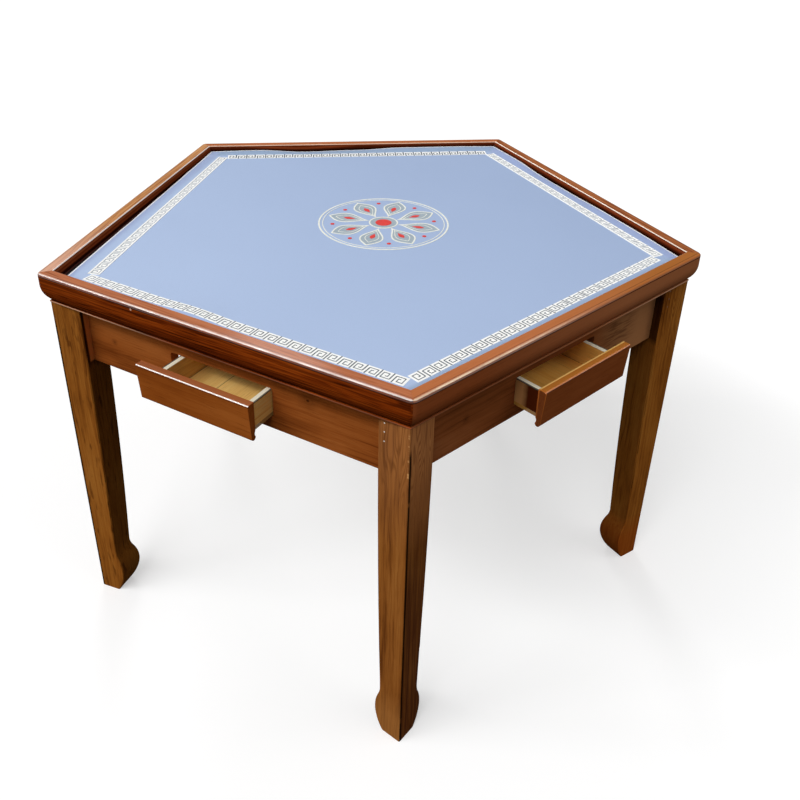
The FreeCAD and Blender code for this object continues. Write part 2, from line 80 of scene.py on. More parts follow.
# ---- the view
IMAGE_SIZE = 800
FOCAL_PX = 874.8
PRINCIPAL_PX = (387.8, 306.9)
CAMERA_PLACE = CENTRE + Vector((-0.1512, -1.6208, 1.4350))
CAMERA_AZIMUTH = -6.56
CAMERA_ELEVATION = 28.45
CAMERA_ROLL = 1.16
SENSOR = 36.0


def add_camera():
    """The camera at the photograph's angle and framing."""
    data = bpy.data.cameras.new("camera")
    data.sensor_width = SENSOR
    data.lens = FOCAL_PX / IMAGE_SIZE * SENSOR
    data.shift_x = (IMAGE_SIZE / 2 - PRINCIPAL_PX[0]) / IMAGE_SIZE
    data.shift_y = (PRINCIPAL_PX[1] - IMAGE_SIZE / 2) / IMAGE_SIZE
    camera = bpy.data.objects.new("camera", data)
    stance = Matrix.Translation(CAMERA_PLACE)
    for degrees, axis in ((CAMERA_AZIMUTH, "Z"), (90 - CAMERA_ELEVATION, "X"), (CAMERA_ROLL, "Z")):
        stance = stance @ Matrix.Rotation(math.radians(degrees), 4, axis)
    camera.matrix_world = stance
    bpy.context.scene.collection.objects.link(camera)
    bpy.context.scene.camera = camera


add_camera()

# ---- values that change over a surface


class Value:
    """What a shader node gives: a number, vector or colour that changes over a surface."""

    def __init__(self, tree, socket):
        self.tree = tree
        self.socket = socket

    def __add__(self, other):
        return reckon("ADD", self, other)

    def __sub__(self, other):
        return reckon("SUBTRACT", self, other)

    def __rsub__(self, other):
        return reckon("SUBTRACT", other, self)

    def __mul__(self, other):
        return reckon("MULTIPLY", self, other)

    def __truediv__(self, other):
        return reckon("DIVIDE", self, other)

    def __abs__(self):
        return reckon("ABSOLUTE", self)


def add_node(tree, kind, inputs=(), **settings):
    """A shader node with its settings and its inputs, given as {name or index: value}."""
    made = tree.nodes.new("ShaderNode" + kind)
    for key, value in settings.items():
        setattr(made, key, value)
    for key, value in dict(inputs).items():
        if isinstance(value, Value):
            tree.links.new(value.socket, made.inputs[key])
        else:
            made.inputs[key].default_value = value
    return made


def result(kind, inputs, output=0, **settings):
    """What a new node gives. One of its inputs at least is a Value."""
    tree = next(value.tree for value in inputs.values() if isinstance(value, Value))
    return Value(tree, add_node(tree, kind, inputs, **settings).outputs[output])


def reckon(operation, *terms):
    return result("Math", dict(enumerate(terms)), operation=operation)


def larger(a, b):
    return reckon("MAXIMUM", a, b)


def below(value, bound):
    """1 where a value is under a bound, 0 elsewhere."""
    return reckon("LESS_THAN", value, bound)


def above(value, bound):
    """1 where a value is over a bound, 0 elsewhere."""
    return reckon("GREATER_THAN", value, bound)


def remap(value, low, high, to_low=0.0, to_high=1.0):
    """A value taken from one range to another, and held at its ends."""
    return result("MapRange", {0: value, 1: low, 2: high, 3: to_low, 4: to_high})


def window(value, low, high, soft):
    """1 between two bounds and 0 outside them, with soft edges."""
    return remap(value, low - soft, low) * remap(value, high, high + soft, 1.0, 0.0)


def of_vectors(operation, *vectors, output="Vector"):
    return result("VectorMath", dict(enumerate(vectors)), output, operation=operation)


def plus(vector, shift):
    return of_vectors("ADD", vector, shift)


def scaled(vector, factors):
    """A vector multiplied factor by factor."""
    return of_vectors("MULTIPLY", vector, factors)


def stretched(vector, lengthwise, crosswise):
    """Grain coordinates for a noise that differs along the grain and across it."""
    return scaled(vector, (lengthwise, crosswise, crosswise))


def distance(place, point):
    return of_vectors("DISTANCE", place, point, output="Value")


def reach_along(vector, direction):
    return of_vectors("DOT_PRODUCT", vector, direction, output="Value")


def parts_of(vector):
    """A vector's X, Y and Z."""
    made = add_node(vector.tree, "SeparateXYZ", {0: vector})
    return [Value(vector.tree, output) for output in made.outputs]


def noise(vector, scale=1.0, detail=2.0, roughness=0.5, distortion=0.0):
    inputs = {
        "Vector": vector,
        "Scale": scale,
        "Detail": detail,
        "Roughness": roughness,
        "Distortion": distortion,
    }
    return result("TexNoise", inputs, "Fac")


def drift(vector, scale, reach):
    """A smooth random shift, the same for everything at one place."""
    colour = result("TexNoise", {"Vector": vector, "Scale": scale, "Detail": 1.0}, "Color")
    return scaled(of_vectors("SUBTRACT", colour, (0.5, 0.5, 0.5)), reach)


def bump(height, strength, depth):
    return result("Bump", {"Strength": strength, "Distance": depth, "Height": height})


def linear(colour):
    """A colour for a socket: 0-255 display values are made linear, other colours stay."""
    if isinstance(colour, Value) or len(colour) == 4:
        return colour
    parts = [part / 255 for part in colour]
    return (*(p / 12.92 if p <= 0.04045 else ((p + 0.055) / 1.055) ** 2.4 for p in parts), 1.0)


def grey(level):
    return (level, level, level, 1.0)


def mix(share, a, b):
    """A colour between two colours."""
    return result("Mix", {0: share, 6: linear(a), 7: linear(b)}, output=2, data_type="RGBA")


def tint(colour, share, tone):
    """A colour taken towards a tone."""
    return mix(share, colour, tone)


def ramp(factor, stops, smooth=False):
    """A colour ramp from (position, colour) stops."""
    made = add_node(factor.tree, "ValToRGB", {0: factor})
    band = made.color_ramp
    band.interpolation = "EASE" if smooth else "LINEAR"
    while len(band.elements) < len(stops):
        band.elements.new(0.5)
    for element, (position, colour) in zip(band.elements, stops):
        element.position = position
        element.color = linear(colour)
    return Value(factor.tree, made.outputs[0])


def even_ramp(factor, tones):
    """A colour ramp through evenly spaced tones."""
    last = len(tones) - 1
    return ramp(factor, [(k / last, tone) for k, tone in enumerate(tones)])


def across_of(here):
    """Distance to the table's right."""
    return parts_of(here)[0]


def height_of(here):
    return parts_of(here)[2]


def inset_of(here, side):
    """Distance inwards from a side's outer edge line."""
    outward = directions(SIDE_ANGLES[side])[0]
    return APOTHEM + CENTRE.dot(outward) - reach_along(here, outward)


def along_of(here, side):
    """Distance along a side from its middle."""
    aside = directions(SIDE_ANGLES[side])[1]
    return reach_along(here, aside) - CENTRE.dot(aside)


def facing(here, direction):
    """How far the surface faces a direction: 1 is straight towards it."""
    normal = add_node(here.tree, "NewGeometry").outputs["True Normal"]
    return reach_along(Value(here.tree, normal), direction)


def new_material(name):
    """An empty material, and where a point of its surface is in the table's coordinates."""
    material = bpy.data.materials.new(name)
    material.use_nodes = True
    tree = material.node_tree
    tree.nodes.clear()
    return material, Value(tree, add_node(tree, "TexCoord").outputs["Object"])


def principled(material, inputs):
    """Gives a material its shader: uniform values are set on it, and Values are linked to it."""
    tree = material.node_tree
    output = add_node(tree, "OutputMaterial")
    shader = add_node(tree, "BsdfPrincipled", inputs)
    tree.links.new(shader.outputs[0], output.inputs[0])
    return material


def dress(name, material):
    """Gives a CAD node one material in all its slots."""
    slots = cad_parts[name].data.materials
    for index in range(len(slots)):
        slots[index] = material
    if not len(slots):
        slots.append(material)


# ---- wood
# Where the pith is beside a board's middle, and how far the grain strays from straight.
PITH = (0.05, 0.04)
WANDER = 0.05

# How unevenly the years' rings are spaced, and how each darkens from early to late wood.
RING_DRIFT = 0.45
RING_STOPS = ((0.0, grey(0.0)), (0.5, grey(0.12)), (0.86, grey(1.0)), (1.0, grey(0.0)))

PORE_SHADE = 0.4


def seed_shift(seed):
    """Where a board is cut from the endless pattern of its wood."""
    return Vector((seed * 1.37, math.sin(seed * 2.1) * 0.3, math.cos(seed * 1.3) * 0.3))


def grain_space(here, turn, seed, upright=False):
    """Table coordinates with X along the grain: turned about Z, or stood up for posts."""
    inputs = {"Vector": here, "Angle": math.radians(-turn)}
    turned = result("VectorRotate", inputs, rotation_type="Z_AXIS")
    if upright:
        x, y, z = parts_of(turned)
        turned = result("CombineXYZ", {0: z, 1: x, 2: y})
    return plus(turned, seed_shift(seed))


def late_wood(wavy, seed, ring):
    """The dark part of each year's ring, about the pith."""
    across = scaled(plus(wavy, Vector((0.0, *PITH)) - seed_shift(seed)), (0.0, 1.0, 1.0))
    radius = of_vectors("LENGTH", across, output="Value")
    inputs = {"W": radius * (RING_DRIFT / ring), "Scale": 1.0}
    uneven = result("TexNoise", inputs, "Fac", noise_dimensions="1D")
    return ramp(reckon("FRACT", uneven * 2.0 + radius / ring), RING_STOPS, smooth=True)


def wood(name, tones, turn=0.0, upright=False, seed=0, ring=0.008, ripple=0.006, contrast=0.5,
         streaks=0.25, flame=(9.0, 110.0), mottle=0.5, fibres=0.4, roughness=0.4, coat=0.0,
         specular=0.0, relief=0.2, finish=None):
    """Stained softwood: uneven rings about an off-centre pith, flames, fibres and mottled stain."""
    material, here = new_material(name)
    along = grain_space(here, turn, seed, upright)
    wavy = plus(along, drift(stretched(along, 1.2, 6.0), 1.0, (0.0, WANDER, WANDER)))
    wavy = plus(wavy, drift(stretched(along, 10.0, 34.0), 1.0, (0.0, ripple, ripple)))
    late = late_wood(wavy, seed, ring)
    cloudy = remap(noise(stretched(along, 1.8, 11.0)), 0.38, 0.62, 0.15, 1.0)
    fibre = noise(stretched(along, 7.0, 330.0), detail=3.0, roughness=0.65)
    flames = noise(stretched(wavy, *flame), distortion=0.4)
    mottling = noise(stretched(along, 5.0, 15.0), detail=3.0)
    tone = late * cloudy * contrast
    tone = tone + remap(fibre, 0.3, 0.7, -fibres / 3, fibres * 2 / 3)
    tone = tone + remap(flames, 0.52, 0.66, -streaks / 3, streaks * 2 / 3)
    tone = tone + remap(mottling, 0.3, 0.7, -mottle / 3, mottle * 2 / 3)
    colour = even_ramp(tone + 0.3, tones)
    pores = remap(noise(stretched(along, 30.0, 900.0)), 0.60, 0.70, 0.0, 0.4)
    pore_tone = [PORE_SHADE * part for part in linear(tones[-1])[:3]]
    colour = mix(pores, colour, (*pore_tone, 1.0))
    if finish:
        colour = finish(here, colour)
    return principled(material, {
        "Base Color": colour,
        "Roughness": remap(fibre, 0.3, 0.7, roughness - 0.06, roughness + 0.08),
        "Specular IOR Level": specular,
        "Coat Weight": coat(here) if callable(coat) else coat,
        "Coat Roughness": 0.07,
        "Normal": bump(late * 0.4 + fibre, relief, 0.0005),
    })


# Tones of early wood, of the wood between and of late wood, in display values.
RIM_TONES = ((158, 72, 18), (120, 46, 7), (56, 18, 3))
PLAIN_RIM_TONES = ((150, 82, 44), (136, 70, 34), (114, 54, 24))
# The rails' tops, lighter than their sides and different rail by rail: painted light and painted sheen.
RIM_TOP_TONES = ((190, 118, 76), (176, 102, 62), (146, 78, 42))
PLAIN_TOP_TONES = ((186, 114, 72), (172, 100, 58), (142, 76, 40))
PALE_TOP_TONES = ((202, 146, 90), (186, 124, 68), (136, 80, 36))
DEEP_TOP_TONES = ((174, 106, 62), (158, 92, 50), (126, 66, 32))
LEG_TONES = ((174, 112, 46), (154, 92, 33), (104, 54, 15))
FRONT_LEG_TONES = ((164, 105, 48), (144, 86, 35), (96, 50, 17))
APRON_TONES = ((168, 96, 44), (150, 80, 32), (110, 52, 16))
# The front right's apron tones, darker in part: painted shade on the side turned from the key light.
PLAIN_APRON_TONES = ((154, 92, 52), (138, 76, 38), (104, 54, 24))
FACE_TONES = ((168, 94, 38), (150, 78, 26), (118, 54, 14))
# The front-right drawer front's tones, darker in part: painted shade on the side turned from the key light.
DARK_FACE_TONES = ((146, 80, 40), (134, 70, 33), (110, 52, 22))
# Drawer pine, much lighter than the bare pine: painted light for the shaded drawer insides. The darker pine
# for the front-right drawer's sides is painted shade.
FLOOR_PINE_TONES = ((252, 212, 134), (246, 198, 114), (218, 158, 78))
AMBER_PINE_TONES = ((255, 198, 104), (255, 184, 88), (232, 148, 62))
PINE_TONES = ((255, 213, 134), (252, 197, 109), (226, 161, 76))
DARK_PINE_TONES = ((244, 184, 96), (228, 164, 78), (192, 128, 54))
BARE_TONES = ((206, 170, 120), (184, 146, 98), (146, 106, 64))
BARE = {"roughness": 0.65, "specular": 0.1}

# ---- the rim's rails
# Strips along a rail: each is a band of distances inwards and a band of rises over the table's
# top, and a band is its low bound, its high bound and its softness.
OUTER_ROUND = ((-0.0010, 0.0046, 0.0008), (-0.0048, 0.0, 0.0008))
INNER_ROUND = ((0.0224, 0.0243, 0.0004), (-0.0020, 0.0, 0.0005))
# A painted highlight along the outer edge.
OUTER_EDGE_HIGHLIGHT = ((0.0008, 0.0034, 0.0005), (-0.0019, -0.0006, 0.0004))
# A painted line along the inner edge: a highlight on the back and side rails, shade on the two front rails.
INNER_EDGE = ((0.0227, 0.0240, 0.0003), (-0.0015, 0.0, 0.0003))

# Bands alone: one of distances inwards, then bands of rises.
# Painted shade beside and under the rounded edge and above the bead, and a painted highlight on the bead.
BESIDE_ROUND = (0.0052, 0.0062, 0.0006)
UNDER_ROUND = (-0.0066, -0.0048, 0.0006)
ABOVE_BEAD = (-0.0556, -0.0534, 0.0007)
BEAD = (-0.0590, -0.0570, 0.0003)

OUTSIDE_INSET = 0.020
WALL_INSET = 0.0225
# Painted shade and light on a rail's inner wall, from its foot to its top.
WALL_SHADE_STOPS = (
    (0.0, (14, 4, 2)), (0.35, (64, 22, 8)), (0.6, (126, 56, 26)), (0.85, (84, 30, 10)),
    (1.0, (130, 66, 34)),
)

# How far the wall's shading is moved on two rails, and where along the back the cloth lies low.
WALL_SHIFTS = {"right": -0.0042, "left": 0.0030}
CLOTH_DIP = 0.13
# A painted glint on a small dent in the front-left rail.
DENT_GLINT_PLACE = side_point("front_left", -0.152, 0.0, TOP_Z - 0.0085)


def rise_of(here):
    """Height over the table's top, so negative below it."""
    return height_of(here) - TOP_Z


def strip(here, side, across, up):
    """1 on a strip along a rail, 0 elsewhere."""
    return window(inset_of(here, side), *across) * window(rise_of(here), *up)


def edge_gloss(side, on_top, here):
    """Varnish that has built up on a rail's rounded edges, with a thinner film on its top."""
    outer = strip(here, side, *OUTER_ROUND)
    if side == "front_right":
        outer = outer * remap(along_of(here, side), -0.15, 0.15, 1.0, 0.1)
    film = remap(rise_of(here), -0.0006, -0.0002, 0.0, on_top)
    return larger(larger(outer, strip(here, side, *INNER_ROUND)), film)


def rail_top(here, side, colour, tones):
    """The lighter tone of a rail's top, painted light and painted sheen, with the grain of its side."""
    lightness = result("RGBToBW", {0: colour})
    top = even_ramp(remap(lightness, 0.02, 0.12, 1.0, 0.0), tones)
    # Painted reflection: a pink sheen on the left rail towards the left corner, a golden tone on the
    # front-right rail towards the right corner.
    if side == "left":
        top = tint(top, remap(along_of(here, side), 0.12, 0.34, 0.0, 0.7), (226, 176, 152))
    if side == "front_right":
        top = tint(top, remap(across_of(here), 0.20, 0.50, 0.0, 0.85), (160, 98, 44))
    return top


def rail_side(here, side, colour):
    """A rail's outer side: lined with fine dark grain at the front left, lighter towards the right corner
    at the front right.
    """
    if side == "front_left":
        grain = stretched(grain_space(here, SIDE_ANGLES[side] + 90, seed=7), 7.0, 400.0)
        line = remap(noise(grain, detail=1.0, distortion=0.3), 0.50, 0.60, 0.0, 0.5)
        colour = tint(colour, line, (62, 18, 3))
    if side == "front_right":
        colour = tint(colour, remap(across_of(here), 0.10, 0.42, 0.0, 0.75), (172, 110, 70))
    return colour


def rail_painted_shade(here, side, colour):
    """Painted shade under and beside the rounded edge, and in the hollow above the bead."""
    rise = rise_of(here)
    inset = inset_of(here, side)
    under = window(rise, *UNDER_ROUND) * 0.75
    beside = window(inset, *BESIDE_ROUND) * remap(rise, -0.0020, -0.0010, 0.0, 0.45)
    hollow = window(rise, *ABOVE_BEAD) * below(inset, OUTSIDE_INSET)
    if side == "front_right":
        hollow = hollow * 0.35
    return tint(colour, larger(larger(under, beside), hollow), (40, 14, 4))


def rail_outer_edge(here, side, colour, tone):
    """A painted highlight along a rail's outer edge, which darkens along the front-right rail."""
    if side == "front_right":
        tone = mix(remap(across_of(here), 0.12, 0.34), tone, (184, 104, 40))
    uneven = remap(noise(here, 30.0), 0.35, 0.6, 0.55, 0.92)
    return tint(colour, strip(here, side, *OUTER_EDGE_HIGHLIGHT) * uneven, tone)


def wall_rise(here, side):
    """The rise that shades the inner wall: less where the cloth's lifted border hides its foot."""
    rise = rise_of(here)
    if side == "back":
        return rise - remap(abs(along_of(here, side) - CLOTH_DIP), 0.02, 0.14, 0.0, 0.0065)
    return rise + WALL_SHIFTS.get(side, 0.0)


def rail_wall(here, side, colour):
    """The wall inside a rail: painted shade, darkest at its foot, with painted light on a band higher up.
    """
    wall = above(inset_of(here, side), WALL_INSET) * remap(rise_of(here), -0.0015, -0.0030)
    depth = ramp(remap(wall_rise(here, side), MAT_HIGH.z - TOP_Z, -0.0020), WALL_SHADE_STOPS)
    return mix(wall * 0.92, colour, depth)


def rail_bead(here, side, colour):
    """A painted highlight on the bead, stronger towards the table's left and right."""
    bead = window(rise_of(here), *BEAD) * below(inset_of(here, side), OUTSIDE_INSET)
    far = remap(abs(across_of(here)), 0.36, 0.52, 0.12, 0.75)
    return tint(colour, bead * far, (224, 176, 144))


def rail_finish(side, top_tones, edge_tone, inner_edge_tone, here, colour):
    """A rail's colour: painted light on the top, painted highlights along the edges, painted shade in the
    hollows and inside.
    """
    top = rail_top(here, side, colour, top_tones)
    colour = rail_side(here, side, colour)
    colour = mix(remap(rise_of(here), -0.0012, -0.0004), colour, top)
    colour = rail_painted_shade(here, side, colour)
    colour = rail_outer_edge(here, side, colour, edge_tone)
    colour = rail_wall(here, side, colour)
    # The inner edge's painted line: a highlight on some rails, shade on others.
    colour = tint(colour, strip(here, side, *INNER_EDGE) * 0.9, inner_edge_tone)
    # A painted glint on a small dent.
    if side == "front_left":
        colour = tint(colour, remap(distance(here, DENT_GLINT_PLACE), 0.0012, 0.0024, 0.9, 0.0), (240, 196, 170))
    return rail_bead(here, side, colour)


# For each side: side tones, top tones, the outer edge's painted highlight tone, the inner edge's painted
# line tone, streaks, ring contrast, fibres and film on the top.
RAIL_STYLES = {
    "front_left": (RIM_TONES, RIM_TOP_TONES, (250, 232, 222), (150, 84, 44), 0.5, 0.45, 0.6, 0.22),
    "front_right": (PLAIN_RIM_TONES, PLAIN_TOP_TONES, (250, 220, 184), (96, 48, 20), 0.1, 0.15, 0.25, 0.0),
    "right": (RIM_TONES, DEEP_TOP_TONES, (196, 126, 70), (246, 226, 206), 0.6, 0.5, 0.5, 0.05),
    "back": (RIM_TONES, RIM_TOP_TONES, (214, 160, 116), (226, 186, 156), 0.6, 0.5, 0.5, 0.0),
    "left": (RIM_TONES, PALE_TOP_TONES, (206, 150, 104), (250, 236, 226), 0.6, 0.5, 0.5, 0.2),
}


def dress_rails():
    """Each rail in its own board: streaked at the front left, plain at the front right."""
    for seed, (side, style) in enumerate(RAIL_STYLES.items(), start=1):
        sides, top, edge, inner_edge, streaks, contrast, fibres, film = style
        dress("rim_rail_" + side, wood(
            "rim_wood_" + side, sides, turn=SIDE_ANGLES[side] + 90, seed=seed, ring=0.005,
            streaks=streaks, flame=(8.0, 260.0), contrast=contrast, mottle=0.3, fibres=fibres,
            roughness=0.34, coat=partial(edge_gloss, side, film),
            finish=partial(rail_finish, side, top, edge, inner_edge),
        ))


# ---- legs
# A leg's outer arris: how far in from the table's corner, its rounding and its dark line's half width.
ARRIS_INSET = 0.0154
ARRIS_ROUND = 0.0012
ARRIS_HALF_WIDTH = 0.0022

# Pale specks: how far beside the arris, and their band of heights.
PALE_SPECKS_ASIDE = 0.0040
PALE_SPECKS_UP = (0.600, 0.676, 0.006)


def from_upright(here, point):
    """Level distance from an upright line through a point."""
    x, y, _ = parts_of(here)
    return distance(result("CombineXYZ", {0: x, 1: y, 2: 0.0}), point)


def front_leg_painted_light(here, colour):
    """The front leg: streaky painted shade low on its right face, painted light near its top and on its
    hoof's left face.
    """
    height = height_of(here)
    right_face = remap(facing(here, directions(CORNER_ANGLES["front"])[1]), 0.2, 0.5)
    streak = noise(scaled(here, (210.0, 210.0, 5.0)), distortion=0.5)
    deep = right_face * remap(height, 0.60, 0.36, 0.0, 0.62) * remap(streak, 0.35, 0.6, 0.75, 1.35)
    colour = tint(colour, deep, (66, 30, 20))
    pale = remap(height, 0.44, 0.64) * (right_face * 0.28 + 0.26)
    colour = tint(colour, pale, (204, 136, 86))
    sole = remap(height, 0.12, 0.05, 0.0, 0.3) * (1.0 - right_face)
    return tint(colour, sole, (196, 134, 72))


def leg_marks_and_painted_light(here, corner, colour):
    """What is particular to one leg: the front one's painted light and shade, the right one's red hoof, the
    left one's dark flecks.
    """
    if corner == "front":
        return front_leg_painted_light(here, colour)
    if corner == "right":
        return tint(colour, remap(height_of(here), 0.12, 0.06, 0.0, 0.5), (150, 58, 10))
    if corner == "left":
        fleck = noise(scaled(here, (110.0, 110.0, 22.0)), detail=1.0, distortion=0.3)
        return tint(colour, remap(fleck, 0.62, 0.70, 0.0, 0.55), (74, 34, 8))
    return colour


def leg_figure(here, colour):
    """Swirling grain lines in the upper part of a leg."""
    swirl = noise(scaled(here, (46.0, 46.0, 4.5)), detail=1.0, distortion=0.25)
    line = window(reckon("FRACT", swirl * 16.0), 0.40, 0.58, 0.18)
    return tint(colour, line * remap(height_of(here), 0.50, 0.62, 0.0, 0.42), (84, 42, 14))


def leg_arris(here, corner, colour):
    """A leg's outer arris: a broken dark line, and pale specks beside it near the top."""
    outward, aside = directions(CORNER_ANGLES[corner])
    arris = CENTRE + outward * (CIRCUMRADIUS - ARRIS_INSET - ARRIS_ROUND) + aside * ARRIS_HALF_WIDTH
    height = height_of(here)
    near = remap(from_upright(here, arris), ARRIS_HALF_WIDTH * 0.6, ARRIS_HALF_WIDTH * 1.4, 1.0, 0.0)
    broken = remap(noise(scaled(here, (0.0, 0.0, 26.0))), 0.32, 0.42, 0.25, 0.95)
    colour = tint(colour, near * broken * remap(height, 0.655, 0.640, 0.15, 1.0), (18, 8, 3))
    specked = remap(noise(scaled(here, (0.0, 0.0, 70.0)), detail=4.0), 0.50, 0.58, 0.0, 0.85)
    beside = window(from_upright(here, arris - aside * PALE_SPECKS_ASIDE), -1.0, 0.0012, 0.0005)
    return tint(colour, specked * beside * window(height, *PALE_SPECKS_UP), (226, 168, 104))


def leg_recess_shade(here, corner, colour):
    """Painted shade on a leg's inner faces beside the aprons. On the left leg part of it is painted lighter
    instead, in the lit apron's tone.
    """
    height = height_of(here)
    inner = remap(facing(here, directions(CORNER_ANGLES[corner])[0]), -0.5, -0.6)
    recess = remap(height, 0.560, 0.575, 0.35, 0.85)
    if corner == "left":
        # Painted lighter, in the lit apron's tone, without the painted shade.
        painted_lighter = remap(inset_of(here, "front_left"), 0.0285, 0.0315) * remap(height, 0.571, 0.575)
        recess = recess * (1.0 - painted_lighter)
        colour = tint(colour, painted_lighter * inner, (214, 128, 64))
    if corner == "right":
        recess = recess * remap(height, 0.666, 0.674, 1.0, 0.1)
    return tint(colour, inner * recess, (34, 14, 5))


def leg_finish(corner, here, colour):
    """A leg's stain with painted light, figure, marked arris and painted shade in its recess."""
    colour = leg_marks_and_painted_light(here, corner, colour)
    colour = leg_figure(here, colour)
    colour = leg_arris(here, corner, colour)
    return leg_recess_shade(here, corner, colour)


# ---- aprons
# Knots on each side's apron: place along it, height and size.
APRON_KNOTS = {
    "front_left": [(0.168, 0.651, 0.0078), (-0.250, 0.628, 0.0030)],
    "front_right": [(-0.215, 0.622, 0.0035)],
    "right": [(0.190, 0.640, 0.0060), (-0.240, 0.610, 0.0040)],
    "back": [(-0.180, 0.632, 0.0050), (0.260, 0.655, 0.0035)],
    "left": [(0.225, 0.618, 0.0055)],
}
APRON_INSET = 0.042
ROUGH_PLACE = side_point("front_right", 0.195, APRON_INSET, 0.632)


def knot(here, colour, place, size):
    """A small knot: a dark core, a ring round it and a halo."""
    bent = plus(here, drift(here, 90.0, (size * 0.9,) * 3))
    gap = distance(bent, place)
    core = remap(gap, size * 0.25, size * 0.5, 0.85, 0.0)
    ring = window(gap, size * 0.85, size, size * 0.25) * 0.35
    halo = remap(gap, size, size * 3.0, 0.28, 0.0)
    return tint(colour, larger(larger(core, ring), halo), (44, 16, 5))


def rough_patch(here, colour):
    """The front-right apron's end, lighter towards the right, with a scratched patch."""
    side = "front_right"
    colour = tint(colour, remap(along_of(here, side), 0.10, 0.22, 0.0, 0.75), (180, 126, 82))
    grain = stretched(grain_space(here, SIDE_ANGLES[side] + 90, seed=5), 26.0, 320.0)
    scratched = mix(remap(noise(grain), 0.46, 0.60), (150, 102, 64), (74, 40, 20))
    near = remap(distance(here, ROUGH_PLACE), 0.025, 0.065, 0.6, 0.0)
    return mix(near, colour, scratched)


def apron_finish(side, here, colour):
    """Knots on the aprons, and a rough patch near one end of the front-right one."""
    for along, height, size in APRON_KNOTS[side]:
        colour = knot(here, colour, side_point(side, along, APRON_INSET, height), size)
    return rough_patch(here, colour) if side == "front_right" else colour


def dress_frame():
    """The aprons, the legs and the blocks behind them."""
    for seed, (side, angle) in enumerate(SIDE_ANGLES.items(), start=11):
        dress("apron_" + side, wood(
            "apron_wood_" + side, PLAIN_APRON_TONES if side == "front_right" else APRON_TONES,
            turn=angle + 90, seed=seed, ring=0.012, contrast=0.22, streaks=0.16, flame=(5.0, 120.0),
            mottle=0.75, fibres=0.35, roughness=0.42, finish=partial(apron_finish, side),
        ))
    for seed, (corner, angle) in enumerate(CORNER_ANGLES.items(), start=21):
        dress("leg_" + corner, wood(
            "leg_wood_" + corner, FRONT_LEG_TONES if corner == "front" else LEG_TONES,
            turn=angle + 90, upright=True, seed=seed, ring=0.0085, contrast=0.32, streaks=0.18,
            flame=(5.0, 150.0), mottle=0.6, ripple=0.010, roughness=0.45, relief=0.35,
            finish=partial(leg_finish, corner),
        ))
        dress("corner_block_" + corner, wood(
            "block_wood_" + corner, BARE_TONES, turn=angle + 90, seed=seed + 10, **BARE,
        ))


# ---- drawers
FACE_TOP_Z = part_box("back_drawer_face")[1].z
BOX_TOP_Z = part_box("back_drawer_near_side")[1].z
BOX_HALF = 0.096
FLOOR_HALF = 0.086
PULLED_OUT = {"front_left": 0.046, "front_right": 0.046}
FACE_DEPTH = 0.0150

# How far in a closed drawer's front is, where along its side it ends, and where floors are joined.
FACE_FRONT = 0.0266
FACE_NEAR_END = -0.0970
FLOOR_SEAMS = {"front_left": -0.025, "right": -0.030, "back": 0.020, "left": 0.035}

# A drawer front's top: the flat's tone and its strength, painted light, and the tones of the front and rear
# edges, painted highlights.
FACE_TOP = ((196, 122, 84), 0.45, (255, 250, 246), (176, 100, 56))
WARM_FACE_TOP = ((214, 134, 54), 0.75, (206, 118, 44), (255, 206, 120))


def coat_on_top(top, start, full, thickest, here):
    """Varnish only near a piece's top: the coat's weight rises from nothing to its thickest."""
    return remap(height_of(here) - top, start, full, 0.0, thickest)


def side_board_finish(side, here, colour):
    """The drawer sides' top edges, pale bare sawn wood made whiter as painted light, with a dark outer
    arris; and one drawer's outsides, dark near the front and tan towards the apron.
    """
    rise = height_of(here) - BOX_TOP_Z
    from_middle = abs(along_of(here, side))
    if side == "front_right":
        edge = noise(here, 60.0) * 0.004 + inset_of(here, side)
        stain = mix(remap(edge, 0.018, 0.030), (84, 34, 10), (190, 136, 84))
        colour = mix(above(from_middle, BOX_HALF - 0.0004), colour, stain)
    # The top edges: pale bare sawn wood, made whiter as painted light.
    colour = tint(colour, remap(rise, -0.0012, -0.0004), (255, 247, 222))
    arris = above(from_middle, BOX_HALF - 0.0024) * remap(rise, -0.0018, -0.0012, 0.0, 0.88)
    return tint(colour, arris, (36, 18, 8))


def floor_finish(side, here, colour):
    """The glue line between a drawer floor's boards, and the dark joint along its sides."""
    along = along_of(here, side)
    dark = remap(abs(along), FLOOR_HALF - 0.0030, FLOOR_HALF - 0.0010, 0.0, 0.8)
    if side in FLOOR_SEAMS:
        seam = FLOOR_SEAMS[side]
        dark = larger(dark, window(along, seam, seam + 0.0006, 0.0008))
    return tint(colour, dark * 0.75, (96, 58, 20))


def face_end_highlights(here, side, colour, rear):
    """Painted orange highlights on the edges of the warm drawer front's near end."""
    end = along_of(here, side) - FACE_NEAR_END
    rear_edge = window(inset_of(here, side), rear - 0.0022, rear, 0.0005) * below(end, 0.0012)
    edges = larger(window(end, 0.0006, 0.0022, 0.0006), rear_edge)
    return tint(colour, edges * remap(height_of(here), 0.650, 0.600, 0.9, 0.35), (216, 120, 50))


